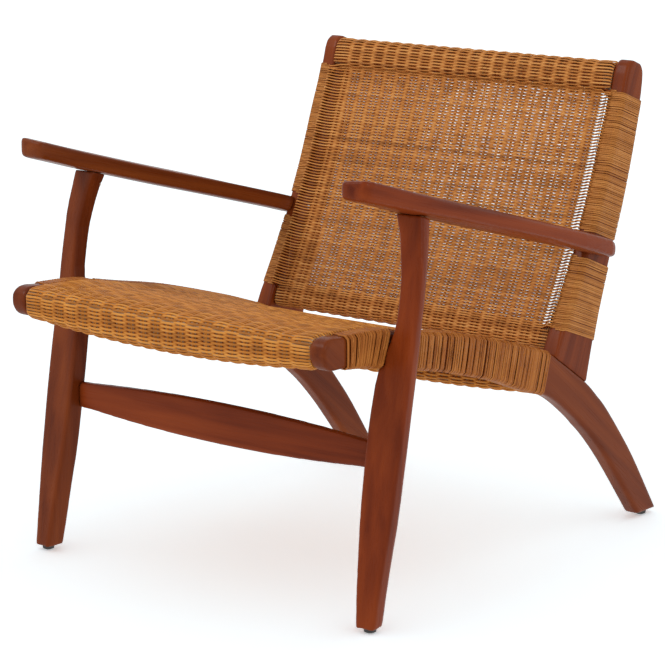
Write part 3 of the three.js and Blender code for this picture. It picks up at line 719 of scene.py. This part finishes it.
def guide_mesh(name, points, joins, named):
    """A mesh of guide lines whose points hold the named values."""
    data = bpy.data.meshes.new(name)
    data.from_pydata(points, joins, [])
    for label, values in named.items():
        if isinstance(values[0], tuple):
            layer = data.attributes.new(label, "FLOAT_VECTOR", "POINT")
            layer.data.foreach_set("vector", [value for one in values for value in one])
        else:
            data.attributes.new(label, "FLOAT", "POINT").data.foreach_set("value", values)
    return data


def part_of(points, joins, named, first, count):
    """The guide lines from one row to another, as a guide of their own."""
    breaks = [i + 1 for i in range(len(points) - 1) if (i, i + 1) not in joins]
    starts = [0] + breaks + [len(points)]
    low, high = starts[first], starts[min(first + count, len(starts) - 1)]
    return points[low:high], [(a - low, b - low) for a, b in joins if low <= a < high], {
        label: values[low:high] for label, values in named.items()}


# The crossing strands swing over and under the warps. In the back they are thinner here and there
# round one place, which leaves small openings between them.
crossing, given, crossing_end_socket = new_recipe("crossing strands", {
    "Points": "Int", "Swing": "Float", "Middle": "Float", "Warp pitch": "Float",
    "Last warp": "Float", "Edge run": "Float", "Row pitch": "Float", "Hold": "Float",
    "Jitter": "Float", "Open": "Float", "Open middle": "Vector", "Open reach": "Float",
    "Thinning": "Float", "Width": "Float", "Depth": "Float", "Material": "Material"})
rows = step(crossing, "GeometryNodeMeshToCurve", {"Mesh": given["Geometry"]})
rows = step(crossing, "GeometryNodeResampleCurve", {
    "Curve": rows.outputs[0], "Count": given["Points"]}, mode="COUNT")
position = step(crossing, "GeometryNodeInputPosition").outputs[0]
x = step(crossing, "ShaderNodeSeparateXYZ", {0: position}).outputs[0]
side = field(crossing, "side")
shut = field(crossing, "shut")
held = sum_of(crossing, "MAXIMUM", sum_of(crossing, "MINIMUM", x, given["Last warp"]),
              sum_of(crossing, "MULTIPLY", given["Last warp"], -1.0))
from_last = sum_of(crossing, "ADD", held, given["Last warp"])
phase = sum_of(crossing, "DIVIDE", from_last, given["Warp pitch"])
wave = sum_of(crossing, "COSINE", sum_of(crossing, "MULTIPLY", phase, math.pi))
bow = sum_of(crossing, "POWER", sum_of(crossing, "ABSOLUTE", wave), given["Hold"])
wave = sum_of(crossing, "MULTIPLY", bow, sum_of(crossing, "SIGN", wave))
wave = sum_of(crossing, "MULTIPLY", wave, side)
height = sum_of(crossing, "MULTIPLY_ADD", wave, given["Swing"], given["Middle"])
height = sum_of(crossing, "ADD", height, field(crossing, "lift"))
from_edge = sum_of(crossing, "SUBTRACT", sum_of(crossing, "ABSOLUTE", x), given["Last warp"])
past = step(crossing, "ShaderNodeMapRange", {
    "Value": from_edge, "From Min": 0.0, "From Max": given["Edge run"], "To Min": 0.0,
    "To Max": 0.5}, interpolation_type="SMOOTHSTEP").outputs[0]
closing = sum_of(crossing, "MULTIPLY", side, sum_of(crossing, "MULTIPLY", shut, -1.0))
closing = sum_of(crossing, "MULTIPLY", closing,
                 sum_of(crossing, "MULTIPLY", past, given["Row pitch"]))
uneven = step(crossing, "ShaderNodeTexNoise", {
    "Vector": position, "Scale": 55.0, "Detail": 1.0}, noise_dimensions="3D").outputs[0]
jitter = sum_of(crossing, "MULTIPLY", sum_of(crossing, "SUBTRACT", uneven, 0.5), given["Jitter"])
moved = vector_of(crossing, "SCALE", field(crossing, "outward", "FLOAT_VECTOR"), scale=height)
slid = vector_of(crossing, "SCALE", field(crossing, "along", "FLOAT_VECTOR"),
                 scale=sum_of(crossing, "ADD", closing, jitter))
away = vector_of(crossing, "SUBTRACT", position, given["Open middle"])
away = step(crossing, "ShaderNodeVectorMath", {0: away}, operation="LENGTH").outputs["Value"]
away = sum_of(crossing, "DIVIDE", away, given["Open reach"])
inside = sum_of(crossing, "MINIMUM", sum_of(crossing, "SUBTRACT", open_fade, away), 1.0)
patchy = step(crossing, "ShaderNodeTexNoise", {
    "Vector": position, "Scale": open_patches, "Detail": 0.0},
    noise_dimensions="3D").outputs[0]
patchy = step(crossing, "ShaderNodeMapRange", {
    "Value": sum_of(crossing, "MULTIPLY", patchy, inside),
    "From Min": open_noise[0], "From Max": open_noise[1]}).outputs[0]
clear = step(crossing, "ShaderNodeMapRange", {
    "Value": sum_of(crossing, "MULTIPLY", from_edge, -1.0),
    "From Min": open_margin[0], "From Max": open_margin[1]}).outputs[0]
opening = sum_of(crossing, "MULTIPLY", sum_of(crossing, "MULTIPLY", patchy, bow),
                 sum_of(crossing, "MULTIPLY", clear, given["Open"]))
# The stretches that run under a warp are painted with shade, except round the openings
under = sum_of(crossing, "MAXIMUM", sum_of(crossing, "MULTIPLY", wave, -1.0), 0.0)
shown = sum_of(crossing, "MULTIPLY_ADD", opening, open_light, 1.0)
under = sum_of(crossing, "MULTIPLY", under, shown)
thinned = sum_of(crossing, "MULTIPLY", sum_of(crossing, "MULTIPLY", past, shut),
                 given["Thinning"])
girth = sum_of(crossing, "SUBTRACT", sum_of(crossing, "SUBTRACT", 1.0, opening), thinned)
rows = kept(crossing, rows.outputs[0], "girth", girth)
rows = kept(crossing, rows, "sunk", under)
rows = step(crossing, "GeometryNodeSetPosition", {
    "Geometry": rows, "Offset": vector_of(crossing, "ADD", moved, slid)}).outputs[0]
crossing.links.new(strands_along(crossing, rows, given), crossing_end_socket)

warping, given, warping_end = new_recipe("warps", {
    "Middle": "Float", "Width": "Float", "Depth": "Float", "Material": "Material"})
rows = step(warping, "GeometryNodeMeshToCurve", {"Mesh": given["Geometry"]})
moved = vector_of(warping, "SCALE", field(warping, "outward", "FLOAT_VECTOR"),
                  scale=given["Middle"])
rows = kept(warping, rows.outputs[0], "girth", 1.0)
rows = step(warping, "GeometryNodeSetPosition", {"Geometry": rows, "Offset": moved}).outputs[0]
warping.links.new(strands_along(warping, rows, given), warping_end)

# Each sheet: its legs in the side view, from its tucked start to its tucked end, each by the corner
# where it starts, one that it passes and the one where it ends. Then the distance between its rows,
# how far the band on its last leg stands out, the fronts of the wound posts that it is carried
# over, and how its strands are woven.
sheets = {
    "seat": ([
        [(-0.3722, 0.4180), (-0.3766, 0.3616), (-0.4177, 0.4109)],
        [(-0.4177, 0.4109), (-0.1500, 0.4200), (0.1130, 0.3200)],
        [(0.1110, 0.3038), (0.1227, 0.2384), (0.1080, 0.3017)]], 0.0029, 0.0, [], {
        "Middle": -0.0024, "Open": 0.0, "Thinning": 0.0,
        "Material": cane_skin("seat_cane_skin", dark=(0.345, 0.122, 0.020),
                              mid=(0.550, 0.195, 0.028), light=(0.710, 0.305, 0.060))}),
    "back": ([
        [(0.1564, 0.3415), (0.1402, 0.3159), (0.1521, 0.3418)],
        [(0.1521, 0.3418), (0.1900, 0.4700), (0.3024, 0.6827)],
        [(0.3024, 0.6827), (0.3159, 0.7238), (0.3062, 0.6814)]], 0.00236, 0.003,
        [stretches["post_wrap_lower"][1] + stretches["post_wrap_upper"][1]], {
        "Middle": -0.0015, "Open": 0.46, "Thinning": 0.42,
        "Material": cane_skin("back_cane_skin", dark=(0.372, 0.142, 0.034),
                              mid=(0.578, 0.224, 0.050), light=(0.740, 0.352, 0.102))}),
}
points_across = round(2 * crossing_end / warp_pitch * points_per_warp)
for part, (legs, pitch, band_lift, fronts, woven) in sheets.items():
    node = part + "_cane"
    xs, columns, counts = sheet_rows(node, legs, pitch)
    band_start = counts[0] + counts[1] - band_before
    lifts = [band_lift * min(max((r - band_start) / band_rows, 0), 1) for r in range(sum(counts))]
    guides = weave_guides(xs, columns, fronts, lifts)
    pieces = []
    for number in range(math.ceil(sum(counts) / rows_per_piece)):
        chosen = part_of(*guides, number * rows_per_piece, rows_per_piece)
        name = part + "_crossing_strands_" + str(number + 1)
        pieces.append(make(name, guide_mesh(name, *chosen), crossing, {
            "Points": points_across, "Swing": weave_swing, "Hold": weave_hold,
            "Jitter": weave_jitter, "Last warp": last_warp, "Edge run": edge_run,
            "Warp pitch": 2 * last_warp / round(2 * last_warp / warp_pitch), "Row pitch": pitch,
            "Open middle": open_middle, "Open reach": open_reach,
            "Width": pitch * crossing_fill, "Depth": crossing_depth, **woven}))
    pieces.append(make(part + "_warps", guide_mesh(part, *warp_guides(xs, columns)), warping, {
        "Width": warp_width, "Depth": warp_depth, **woven}))
    for piece in pieces:
        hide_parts(node)
        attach(piece, "root")

# Inner rails: four plain pale boards between the side parts, planed and left bare under the cane.
# Each has a tenon at both ends.
bare_dark = (0.30, 0.16, 0.075, 1)
bare_light = (0.44, 0.27, 0.14, 1)


def grained(name, dark, light, stretch, scale, roughness, metallic):
    """A plain finish with a faint drawn figure: bare wood, turned dowels or treated steel."""
    material = bpy.data.materials.new(name)
    material.use_nodes = True
    tree = material.node_tree
    place = step(tree, "ShaderNodeTexCoord").outputs["Object"]
    drawn = figure(tree, place, scale, 3, stretch)
    wire(tree, tree.nodes["Principled BSDF"], {
        "Base Color": toned(tree, drawn, (0.35, dark), (0.68, light)),
        "Roughness": roughness, "Metallic": metallic})
    return material


def dressed(names, material):
    """Gives CAD parts that show as they are a finish."""
    for name in names:
        nodes[name].data.materials.clear()
        nodes[name].data.materials.append(material)


bare_wood = grained("bare_rail_wood", bare_dark, bare_light, (0.05, 1, 1), 60, 0.7, 0)
dressed(["front_seat_rail", "rear_seat_rail", "back_top_rail", "back_bottom_rail"], bare_wood)

# Joints: beech dowels hold each post to its side rail and each front leg to its armrest, and plated
# screws hold the leg laps and the armrests. All lie inside the wood.
beech_dark = (0.50, 0.32, 0.15, 1)
beech_light = (0.66, 0.46, 0.25, 1)
zinc_dark = (0.42, 0.43, 0.44, 1)
zinc_light = (0.58, 0.59, 0.60, 1)

beech = grained("beech_dowel", beech_dark, beech_light, (1, 1, 0.1), 220, 0.6, 0)
zinc = grained("zinc_plate", zinc_dark, zinc_light, (1, 1, 1), 400, 0.35, 1)
for side in ("right", "left"):
    dressed([joint + side for joint in (
        "post_dowel_1_", "post_dowel_2_", "arm_dowel_1_", "arm_dowel_2_")], beech)
    dressed([joint + side for joint in ("leg_screw_1_", "leg_screw_2_", "arm_screw_")], zinc)

# Glides: a dark domed steel button nailed under each of the four feet, so that the chair slides and
# its end grain stays off the floor.
glide_dark = (0.020, 0.017, 0.015, 1)
glide_light = (0.034, 0.029, 0.026, 1)

dark_steel = grained("glide_steel", glide_dark, glide_light, (1, 1, 1), 300, 0.45, 0)
for side in ("right", "left"):
    dressed(["front_glide_" + side, "rear_glide_" + side], dark_steel)
